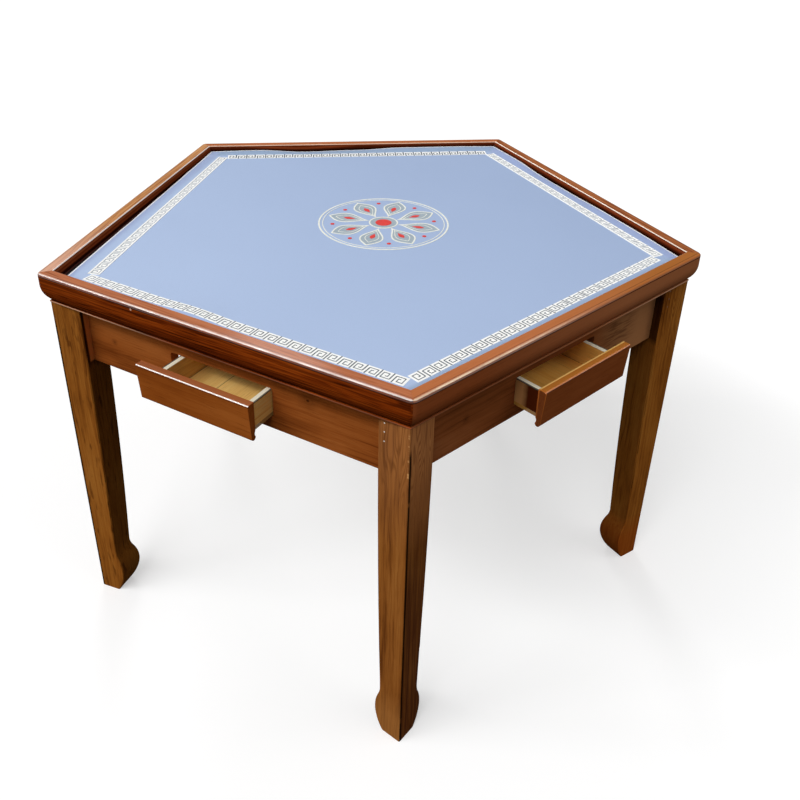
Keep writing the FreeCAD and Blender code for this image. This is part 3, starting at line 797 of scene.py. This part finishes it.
def face_finish(side, here, colour):
    """Painted light on a drawer front's top, painted highlights along its top edges with painted shade
    under the front one, and painted highlights on its end if it is the warm one.
    """
    front = FACE_FRONT - PULLED_OUT.get(side, 0.0)
    rear = front + FACE_DEPTH
    warm = side == "front_right"
    flat_tone, strength, front_tone, rear_tone = WARM_FACE_TOP if warm else FACE_TOP
    inset = inset_of(here, side)
    rise = height_of(here) - FACE_TOP_Z
    colour = tint(colour, remap(rise, -0.0008, -0.0003, 0.0, strength), flat_tone)
    # Painted shade under the front edge's highlight.
    under = window(rise, -0.0032, -0.0024, 0.0004) * below(inset, front + 0.0012)
    colour = tint(colour, under * 0.8, (44, 16, 6))
    front_edge = window(inset, front + 0.0004, front + 0.0020, 0.0004)
    colour = tint(colour, front_edge * remap(rise, -0.0018, -0.0012, 0.0, 0.95), front_tone)
    rear_edge = window(inset, rear - 0.0026, rear, 0.0005)
    colour = tint(colour, rear_edge * remap(rise, -0.0016, -0.0010, 0.0, 0.9), rear_tone)
    return face_end_highlights(here, side, colour, rear) if warm else colour


def dress_drawer(side, number):
    """One drawer's front, sides, floor and rear board, and its runners."""
    turn = SIDE_ANGLES[side]
    dark = side == "front_right"
    pieces = {
        "face": wood(
            "drawer_face_wood_" + side, DARK_FACE_TONES if dark else FACE_TONES, turn=turn + 90,
            seed=number + 41, ring=0.016, contrast=0.15, streaks=0.1, mottle=0.6, fibres=0.2,
            roughness=0.34, relief=0.1, coat=partial(coat_on_top, FACE_TOP_Z, -0.0028, -0.0010, 0.9),
            finish=partial(face_finish, side),
        ),
        "near_side": wood(
            "drawer_pine_" + side, DARK_PINE_TONES if dark else PINE_TONES, turn=turn, seed=number + 51,
            roughness=0.5, coat=partial(coat_on_top, BOX_TOP_Z, -0.0006, -0.0002, 0.8),
            finish=partial(side_board_finish, side),
        ),
        "floor": wood(
            "drawer_floor_pine_" + side, AMBER_PINE_TONES if dark else FLOOR_PINE_TONES, turn=turn,
            seed=number + 61, ring=0.014, contrast=0.2, streaks=0.1, mottle=0.4, coat=0.5,
            finish=partial(floor_finish, side),
        ),
        "rear": wood(
            "drawer_rear_pine_" + side, PINE_TONES, turn=turn + 90, seed=number + 66, ring=0.011,
            contrast=0.35, roughness=0.45, specular=BARE["specular"],
        ),
        "runners": wood("runner_wood_" + side, BARE_TONES, turn=turn, seed=number + 71, **BARE),
    }
    pieces["far_side"] = pieces["near_side"]
    for piece, material in pieces.items():
        dress(side + "_drawer_" + piece, material)


# ---- fastenings and board
BRADS_MIDDLE = CENTRE + Vector((0.0, -(CIRCUMRADIUS - ARRIS_INSET), 0.660))


def brad_material():
    """Brad heads: bare metal on the front leg, with stain over them on the others."""
    material, here = new_material("brad_steel")
    bare = remap(distance(here, BRADS_MIDDLE), 0.15, 0.20, 1.0, 0.0)
    tarnish = noise(here, 900.0)
    metal = mix(tarnish, (236, 232, 222), (188, 182, 170))
    return principled(material, {
        "Base Color": mix(bare, (92, 50, 18), metal),
        "Metallic": bare * 0.6,
        "Roughness": remap(tarnish, 0.3, 0.7, 0.3, 0.5),
    })


def steel_material():
    """Zinc-plated steel, a little cloudy."""
    material, here = new_material("zinc_plated_steel")
    cloudy = noise(here, 220.0, detail=3.0, roughness=0.6)
    return principled(material, {
        "Base Color": mix(cloudy, (200, 200, 196), (150, 150, 148)),
        "Roughness": remap(cloudy, 0.3, 0.7, 0.28, 0.45),
        "Metallic": 1.0,
    })


def board_finish(here, colour):
    """The board's upper face, painted dark as shade where it shows beside the mat."""
    top = remap(height_of(here), MAT_LOW.z - 0.0010, MAT_LOW.z - 0.0005, 0.0, 0.95)
    return tint(colour, top, (34, 14, 8))


def dress_inside():
    """The board, its splines and the fastenings."""
    board = wood("board_wood", BARE_TONES, seed=81, ring=0.016, contrast=0.35, roughness=0.65,
                 finish=board_finish)
    dress("tabletop_board", board)
    dress("mitre_splines", board)
    steel = steel_material()
    for name in ("leg_bolts", "leg_bolt_washers", "leg_bolt_nuts", "tabletop_screws", "apron_screws"):
        dress(name, steel)
    dress("tenon_brads", brad_material())


# ---- mat, cloth and ink
# The cloth's tone outside the print, on each side: painted shade from the rails.
BORDER_SHADE_TONES = {
    "front_left": (168, 184, 222),
    "front_right": (146, 166, 194),
    "right": (144, 158, 196),
    "back": (142, 163, 190),
    "left": (160, 176, 213),
}
WEAVE_SCALE = 320.0
PRINT_CORNER = CENTRE - Vector((0.0, CIRCUMRADIUS, 0.0))


def mat_material():
    """The mat, painted near black as the shade in the gap beside the rails."""
    material, here = new_material("mat_painted_shade")
    gap_shade = mix(noise(here, 900.0), (16, 10, 9), (8, 5, 4))
    # Browner painted shade beside the left rail.
    painted_lighter = remap(inset_of(here, "left"), 0.0330, 0.0310, 0.0, 0.9)
    return principled(material, {
        "Base Color": tint(gap_shade, painted_lighter, (58, 20, 12)),
        "Roughness": 0.8,
        "Specular IOR Level": 0.1,
    })


def cloth_material():
    """A short blue cloth with a fine weave, a little uneven, with painted light across it and painted shade
    on its border.
    """
    material, here = new_material("blue_cloth")
    across, away, _ = parts_of(here)
    # Painted light: lighter towards the table's left and front, over a random unevenness.
    paler = noise(here, 2.2) * 0.4 + remap(across, -0.5, 0.5, 0.66, -0.02)
    paler = paler + remap(away, -0.5, 0.5, 0.18, -0.30)
    colour = mix(paler, (154, 173, 206), (178, 197, 229))
    fleck = noise(here, 900.0, roughness=0.6)
    colour = tint(colour, remap(fleck, 0.4, 0.7, 0.0, 0.18), (134, 152, 186))
    # Painted shade on the border beside each rail.
    for side, tone in BORDER_SHADE_TONES.items():
        colour = tint(colour, remap(inset_of(here, side), 0.052, 0.044, 0.0, 0.85), tone)
    threads = {"Vector": here, "Scale": WEAVE_SCALE}
    warp = result("TexWave", threads, "Fac", bands_direction="X")
    weft = result("TexWave", threads, "Fac", bands_direction="Y")
    return principled(material, {
        "Base Color": colour,
        "Roughness": 0.85,
        "Specular IOR Level": 0.2,
        "Sheen Weight": 0.08,
        "Sheen Roughness": 0.5,
        "Normal": bump(warp + weft, 0.25, 0.0003),
    })


def hem_material():
    """The cloth's bare white cut edge."""
    material, here = new_material("cloth_hem")
    frayed = noise(here, 700.0)
    return principled(material, {
        "Base Color": mix(frayed, (255, 255, 255), (236, 238, 246)),
        "Roughness": 0.8,
    })


def ink_material(name, fresh, worn, paler=None):
    """Printing ink on cloth: slightly uneven and matte, paler away from the front corner if asked."""
    material, here = new_material(name)
    patchy = noise(here, 160.0, detail=3.0, roughness=0.6)
    ink = mix(remap(patchy, 0.35, 0.75), fresh, worn)
    if paler:
        ink = tint(ink, remap(distance(here, PRINT_CORNER), 0.80, 1.05), paler)
        ink = tint(ink, remap(inset_of(here, "back"), 0.076, 0.072, 0.0, 0.8), fresh)
    return principled(material, {
        "Base Color": ink,
        "Roughness": 0.8,
        "Normal": bump(noise(here, 1400.0, detail=1.0), 0.2, 0.0003),
    })


dress_rails()
dress_frame()
for number, side in enumerate(SIDE_ANGLES):
    dress_drawer(side, number)
dress_inside()
dress("playing_mat", mat_material())

# ---- meshes


def link_mesh(name, made, materials):
    """A mesh object from a bmesh."""
    mesh = bpy.data.meshes.new(name)
    made.to_mesh(mesh)
    made.free()
    piece = bpy.data.objects.new(name, mesh)
    for material in materials:
        mesh.materials.append(material)
    bpy.context.scene.collection.objects.link(piece)
    return piece


def lay(name, made, materials):
    """A piece of the playing cloth, which stays with the table."""
    bmesh.ops.recalc_face_normals(made, faces=made.faces)
    piece = link_mesh(name, made, materials)
    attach(piece, "table")
    return piece


def quad(made, row, next_row, k, after):
    return made.faces.new((row[k], row[after], next_row[after], next_row[k]))


def ribbon(made, points, width, high, closed=False):
    """A thin flat band along a line on the cloth, mitred at its bends, with its edges turned down."""
    count = len(points)
    sides = []
    for k, point in enumerate(points):
        before = points[k - 1] if k or closed else None
        after = points[(k + 1) % count] if k < count - 1 or closed else None
        ahead = (after - point).normalized() if after is not None else (point - before).normalized()
        behind = (point - before).normalized() if before is not None else ahead
        bisector = (ahead + behind).normalized()
        across = Vector((-bisector.y, bisector.x, 0.0)) * (width / 2 / max(bisector.dot(ahead), 0.3))
        sides.append([
            [made.verts.new(spot + Vector((0, 0, lift))) for lift in (0, high)]
            for spot in (point - across, point + across)
        ])
    for k in range(count if closed else count - 1):
        (right, left), (right_next, left_next) = sides[k], sides[(k + 1) % count]
        made.faces.new((right[1], right_next[1], left_next[1], left[1]))
        made.faces.new((right[0], right_next[0], right_next[1], right[1]))
        made.faces.new((left[1], left_next[1], left_next[0], left[0]))


def plate(made, points, high):
    """A thin flat shape on the cloth with its edges turned down."""
    lower = [made.verts.new(p) for p in points]
    upper = [made.verts.new(p + Vector((0, 0, high))) for p in points]
    made.faces.new(upper)
    for k in range(len(points)):
        quad(made, lower, upper, k, (k + 1) % len(points))


def patch(made, grid, high):
    """A thin four-sided area that follows the cloth, from rows of points, with its edges turned down."""
    rise = Vector((0, 0, high))
    upper = [[made.verts.new(p + rise) for p in row] for row in grid]
    for row, next_row in zip(upper, upper[1:]):
        for k in range(len(row) - 1):
            quad(made, row, next_row, k, k + 1)
    last_row = len(grid) - 1
    last_column = len(grid[0]) - 1
    around = [(0, k) for k in range(last_column + 1)]
    around += [(j, last_column) for j in range(1, last_row + 1)]
    around += [(last_row, k) for k in range(last_column - 1, -1, -1)]
    around += [(j, 0) for j in range(last_row - 1, 0, -1)]
    edge = [upper[j][k] for j, k in around]
    foot = [made.verts.new(grid[j][k]) for j, k in around]
    for k in range(len(around)):
        quad(made, edge, foot, k, (k + 1) % len(around))


# ---- the cloth
CLOTH_THICKNESS = 0.0005
CLOTH_TOP = MAT_HIGH.z + CLOTH_THICKNESS
CLOTH_STEPS = 75
HEM = 0.0029

# How far in from the cloth's edge it has rings of points.
CLOTH_RINGS = (0.0, HEM, 0.006, 0.010, 0.014, 0.018, 0.022, 0.027, 0.033, 0.040, 0.050, 0.062, 0.074,
               0.088, 0.120)
ROUND_TABLE = sorted(SIDE_ANGLES, key=SIDE_ANGLES.get)

# How far in from the table's outer edge the cloth is cut, at the start and the end of each side.
CLOTH_EDGES = {
    "front_left": (0.0325, 0.0325),
    "front_right": (0.0325, 0.0325),
    "right": (0.0315, 0.0295),
    "back": (0.0295, 0.0295),
    "left": (0.0300, 0.0385),
}

WAVE_START = -0.36
WAVE_STEP = 0.12


def wave(reach, *heights):
    """Lifts of given heights at equal steps along a side, that blend into one wavy edge."""
    return [(WAVE_START + WAVE_STEP * k, WAVE_STEP, reach, height) for k, height in enumerate(heights)]


# Where the cloth's border has lifted off the mat: middle along the side, half length,
# how far in it reaches from the cloth's edge, and height.
LIFTS = {
    "front_left": [(-0.070, 0.090, 0.085, 0.0046), (0.250, 0.060, 0.030, 0.0012)],
    "front_right": [
        (-0.200, 0.120, 0.030, 0.0022), (0.080, 0.150, 0.032, 0.0030), (0.360, 0.120, 0.022, 0.0045),
    ],
    "right": wave(0.022, 0.0045, 0.0062, 0.0066, 0.0041, 0.0039, 0.0085, 0.0074),
    "back": wave(0.024, 0.0074, 0.0086, 0.0080, 0.0035, 0.0011, 0.0070, 0.0055),
    "left": wave(0.026, 0.0055, 0.0040, 0.0030, 0.0022, 0.0015, 0.0008, 0.0003),
}


def bell(value):
    """A smooth bump: 1 at 0, falling to 0 at -1 and 1."""
    return math.cos(math.pi / 2 * max(-1.0, min(1.0, value))) ** 2


def cloth_edge(side, along):
    """Where the cloth is cut on a side, as a distance in from the table's outer edge."""
    start, end = CLOTH_EDGES[side]
    return start + (end - start) * (along / SIDE_LENGTH + 0.5)


def cloth_lift(side, along, inset):
    """How far the cloth stands off the mat at a place."""
    total = 0.0
    for middle, half, reach, height in LIFTS[side]:
        inward = (inset - cloth_edge(side, along)) / reach
        total += height * bell((along - middle) / half) * bell(inward)
    return total


def cloth_point(side, along, inset):
    """A point on top of the cloth."""
    return side_point(side, along, inset, CLOTH_TOP + cloth_lift(side, along, inset))


def edge_wander(side, along, half):
    """How far the cut edge of the cloth strays from straight; nothing at the corners."""
    stray = math.sin(along * 31 + SIDE_ANGLES[side]) + 0.6 * math.sin(along * 77 + 1.3)
    return 0.0004 * stray * max(0.0, math.cos(math.pi / 2 * along / half))


def corner_reach(inset, next_inset):
    """How far along a side its corner lies, for lines at given insets on it and on the next side."""
    turn = 2 * math.pi / SIDES
    return ((APOTHEM - next_inset) - (APOTHEM - inset) * math.cos(turn)) / math.sin(turn)


def cloth_ring(step):
    """The points of the cloth at one distance in from its edge, all round."""
    points = []
    for index, side in enumerate(ROUND_TABLE):
        start, end = (inset + step for inset in CLOTH_EDGES[side])
        before = CLOTH_EDGES[ROUND_TABLE[index - 1]][1] + step
        after = CLOTH_EDGES[ROUND_TABLE[(index + 1) % SIDES]][0] + step
        first = -corner_reach(start, before)
        last = corner_reach(end, after)
        for count in range(CLOTH_STEPS):
            share = count / CLOTH_STEPS
            along = first + (last - first) * share
            stray = edge_wander(side, along, last) if step == 0.0 else 0.0
            points.append(cloth_point(side, along, start + (end - start) * share + stray))
    return points


def flat_area(points):
    """The area inside an outline, seen from above."""
    pairs = zip(points[-1:] + points, points)
    return abs(sum(a.x * b.y - b.x * a.y for a, b in pairs)) / 2


def add_cloth():
    """The printed cloth, laid over the mat, with slightly wavy cut edges and a lifting border."""
    made = bmesh.new()
    rings = [cloth_ring(step) for step in CLOTH_RINGS]
    drop = Vector((0, 0, CLOTH_THICKNESS))
    upper = [[made.verts.new(p) for p in ring] for ring in rings]
    lower = [[made.verts.new(p - drop) for p in ring] for ring in rings]
    count = len(rings[0])
    for k in range(count):
        after = (k + 1) % count
        for outer in range(len(rings) - 1):
            for layer in (upper, lower):
                face = quad(made, layer[outer], layer[outer + 1], k, after)
                face.material_index = 1 if outer == 0 else 0
        rim = quad(made, upper[0], lower[0], k, after)
        rim.material_index = 1
    made.faces.new(upper[-1])
    made.faces.new(lower[-1])
    piece = lay("playing_cloth", made, [cloth_material(), hem_material()])
    for face in piece.data.polygons:
        face.use_smooth = len(face.vertices) == 4 and abs(face.normal.z) > 0.5
    outline = rings[0]
    flat_area(outline)


# ---- the print on the cloth
BAND_WIDTH = 0.0230
BAND_HEIGHT = 0.0003
BAND_COLUMNS = 120
BAND_ROWS = 4
LINE_HEIGHT = 0.0006

# The fret bands: start and end along each side, and how far in their outer edge is at both ends.
BANDS = {
    "front_left": (-0.3163, 0.3322, 0.0482, 0.0482),
    "front_right": (-0.3190, 0.3222, 0.0482, 0.0528),
    "right": (-0.3251, 0.3215, 0.0480, 0.0478),
    "back": (-0.3276, 0.3120, 0.0480, 0.0480),
    "left": (-0.3334, 0.3245, 0.0563, 0.0685),
}

# One key of the fret in a unit square: X along the band, Y from its inner edge outwards.
KEY_GAP = [(0.88, 0.0), (0.87, 0.79)]
KEY = [(0.87, 0.79), (0.21, 0.80), (0.21, 0.21), (0.62, 0.21), (0.62, 0.56), (0.44, 0.56)]
KEYS = 28
KEY_WIDTH = 0.0014
BACK_KEY_WIDTH = 0.0022
GAP_WIDTH_SHARE = 1.3

# The bands that have a white trim along both edges, and its places across the band.
TRIMMED = ("right", "left")
TRIM_DEPTHS = (0.08, 0.92)
TRIM_WIDTH = 0.0034
TRIM_HEIGHT = 0.0009


def fret_point(side, share, depth):
    """A point in a fret band: a share of its length, and a share of its width from its inner edge."""
    start, end, outer_start, outer_end = BANDS[side]
    outer = outer_start + (outer_end - outer_start) * share
    return cloth_point(side, start + (end - start) * share, outer + BAND_WIDTH * (1 - depth))


def band_line(side, depth):
    """Points along a fret band, at one share of its width."""
    return [fret_point(side, k / BAND_COLUMNS, depth) for k in range(BAND_COLUMNS + 1)]


def add_keys(lines, side):
    """The dark keys of one fret band, in pairs that face each other."""
    width = BACK_KEY_WIDTH if side == "back" else KEY_WIDTH
    gap_width = width * GAP_WIDTH_SHARE
    for k in range(KEYS):
        for line, line_width in ((KEY, width), (KEY_GAP, gap_width)):
            if k % 2 == 0:
                points = [fret_point(side, (k + x) / KEYS, y) for x, y in line]
            else:
                points = [fret_point(side, (k + 1 - x) / KEYS, 1 - y) for x, y in line]
            ribbon(lines, points, line_width, LINE_HEIGHT)
        if k and k % 2 == 0:
            between = [fret_point(side, k / KEYS, depth) for depth in (0.0, 1.0)]
            ribbon(lines, between, gap_width, LINE_HEIGHT)


def add_fret():
    """The meander border: a white band a side, with dark keys in pairs."""
    band = bmesh.new()
    lines = bmesh.new()
    for side in SIDE_ANGLES:
        patch(band, [band_line(side, j / BAND_ROWS) for j in range(BAND_ROWS + 1)], BAND_HEIGHT)
        add_keys(lines, side)
        if side in TRIMMED:
            for depth in TRIM_DEPTHS:
                ribbon(band, band_line(side, depth), TRIM_WIDTH, TRIM_HEIGHT)
    white = ink_material("print_white", (250, 250, 246), (240, 241, 240))
    dark = ink_material("print_grey", (70, 78, 86), (100, 110, 120), paler=(146, 154, 166))
    lay("fret_band", band, [white])
    lay("fret_lines", lines, [dark])


MEDALLION_PLACE = CENTRE + Vector((0.026, 0.028, CLOTH_TOP))
MEDALLION_RADIUS = 0.132
LINING_GAP = 0.0075
HEART_RADIUS = 0.0285
EYE_RADIUS = 0.0165
SMALL_CIRCLE_STEPS = 48
DOT_REACH = 0.1045
DOT_RADIUS = 0.0042
DOT_STEPS = 12
BROAD_LINE = 0.0034
PETAL_LINE = 0.0030
THIN_LINE = 0.0016
FINE_LINE = 0.0014

# A rosette's petals: where they start and end along their middle line, and their half width.
PETALS = 8
PETAL_STEPS = 16
PETAL = (0.036, 0.117, 0.0225)
PETAL_LINING = (0.046, 0.103, 0.0135)
PETAL_HEART = (0.060, 0.086, 0.0052)


def medallion_point(turn, reach, aside=0.0):
    """A point of the medallion at a direction in degrees, a reach and a step to the side."""
    out, across = directions(turn)
    return MEDALLION_PLACE + out * reach + across * aside


def circle(middle, radius, steps=96):
    return [middle + directions(360 * step / steps)[0] * radius for step in range(steps)]


def petal(turn, start, end, half_width):
    """A pointed petal's outline, widest a little past its middle."""
    outline = []
    for sign, steps in ((-1, range(PETAL_STEPS)), (1, range(PETAL_STEPS, 0, -1))):
        for step in steps:
            share = step / PETAL_STEPS
            bulge = half_width * math.sin(math.pi * share ** 1.3)
            outline.append(medallion_point(turn, start + (end - start) * share, sign * bulge))
    return outline


def add_petal(turn, white, pale, red):
    """One petal with its linings, and the dot between it and the next."""
    plate(pale, petal(turn, *PETAL), BAND_HEIGHT)
    ribbon(white, petal(turn, *PETAL), PETAL_LINE, LINE_HEIGHT, closed=True)
    ribbon(white, petal(turn, *PETAL_LINING), FINE_LINE, LINE_HEIGHT, closed=True)
    plate(red, petal(turn, *PETAL_HEART), LINE_HEIGHT)
    between = medallion_point(turn + 180 / PETALS, DOT_REACH)
    plate(red, circle(between, DOT_RADIUS, DOT_STEPS), LINE_HEIGHT)


def add_medallion():
    """A generic rosette in the middle of the cloth: grey petals lined in white, with red accents."""
    white = bmesh.new()
    pale = bmesh.new()
    red = bmesh.new()
    heart = circle(MEDALLION_PLACE, HEART_RADIUS, SMALL_CIRCLE_STEPS)
    lining = circle(MEDALLION_PLACE, MEDALLION_RADIUS - LINING_GAP)
    ribbon(white, circle(MEDALLION_PLACE, MEDALLION_RADIUS), BROAD_LINE, LINE_HEIGHT, closed=True)
    ribbon(white, lining, THIN_LINE, LINE_HEIGHT, closed=True)
    plate(pale, heart, BAND_HEIGHT)
    ribbon(white, heart, PETAL_LINE, LINE_HEIGHT, closed=True)
    plate(red, circle(MEDALLION_PLACE, EYE_RADIUS, SMALL_CIRCLE_STEPS), LINE_HEIGHT)
    for k in range(PETALS):
        add_petal(360 * (k + 0.5) / PETALS, white, pale, red)
    lay("medallion_lines", white, [ink_material("medallion_white", (238, 238, 228), (212, 216, 208))])
    lay("medallion_fill", pale, [ink_material("medallion_grey", (158, 172, 180), (142, 156, 170))])
    lay("medallion_accents", red, [ink_material("medallion_red", (216, 50, 42), (198, 46, 42))])


add_cloth()
add_fret()
add_medallion()

# ---- stage and light
FLOOR_SIZE = 60.0
FLOOR_GLOW = 0.44
SKY_STRENGTH = 0.30

# Long lamps beside the table, as rows of small ones: the rounded edges of the rim mirror them.
LEFT_STRIP = ((173, 33), (184, 39), (192, 43), (200, 47))
RIGHT_STRIP = ((352, 36), (3, 30))
STRIP_SPREAD = 10


def seen_directly(tree):
    """1 for camera, glossy and transmission rays, 0 for the others."""
    rays = add_node(tree, "LightPath").outputs
    names = ("Is Camera Ray", "Is Glossy Ray", "Is Transmission Ray")
    camera, glossy, through = (Value(tree, rays[name]) for name in names)
    return larger(larger(camera, glossy), through)


def add_floor():
    """The pale floor: white where it is seen, grey in what it gives back to the table."""
    made = bmesh.new()
    bmesh.ops.create_grid(made, x_segments=1, y_segments=1, size=FLOOR_SIZE)
    material, _ = new_material("floor")
    seen = seen_directly(material.node_tree)
    principled(material, {
        "Base Color": mix(seen, grey(0.06), grey(0.62)),
        "Roughness": 0.9,
        "Specular IOR Level": 0.0,
        "Emission Color": grey(1.0),
        "Emission Strength": seen * FLOOR_GLOW,
    })
    floor = link_mesh("floor", made, [material])


def add_world():
    """A plain sky: white where it is seen, dimmer as a light."""
    world = bpy.data.worlds.new("studio")
    bpy.context.scene.world = world
    world.use_nodes = True
    tree = world.node_tree
    tree.nodes.clear()
    strength = remap(seen_directly(tree), 0.0, 1.0, SKY_STRENGTH, 1.0)
    background = add_node(tree, "Background", {0: grey(1.0), 1: strength})
    output = add_node(tree, "OutputWorld")
    tree.links.new(background.outputs[0], output.inputs[0])


def add_sun(name, azimuth, elevation, spread, strength):
    """A far soft lamp, given by the direction that its light comes from, in degrees."""
    data = bpy.data.lights.new(name, "SUN")
    data.angle = math.radians(spread)
    data.energy = strength
    lamp = bpy.data.objects.new(name, data)
    turn, rise = math.radians(azimuth), math.radians(elevation)
    source = Vector((math.cos(turn) * math.cos(rise), math.sin(turn) * math.cos(rise), math.sin(rise)))
    lamp.rotation_mode = "QUATERNION"
    lamp.rotation_quaternion = source.to_track_quat("Z", "Y")
    bpy.context.scene.collection.objects.link(lamp)


def add_strip(name, places, strength):
    for step, (azimuth, elevation) in enumerate(places):
        add_sun("%s_%d" % (name, step), azimuth, elevation, STRIP_SPREAD, strength)


add_floor()
add_world()
add_sun("key", 231, 48, 38, 1.40)
add_sun("right_fill", 332, 42, 30, 0.30)
add_sun("window", 95, 38, 16, 0.45)
add_strip("left_strip", LEFT_STRIP, 0.28)
add_strip("right_strip", RIGHT_STRIP, 0.08)
bpy.context.scene.view_settings.view_transform = "Standard"
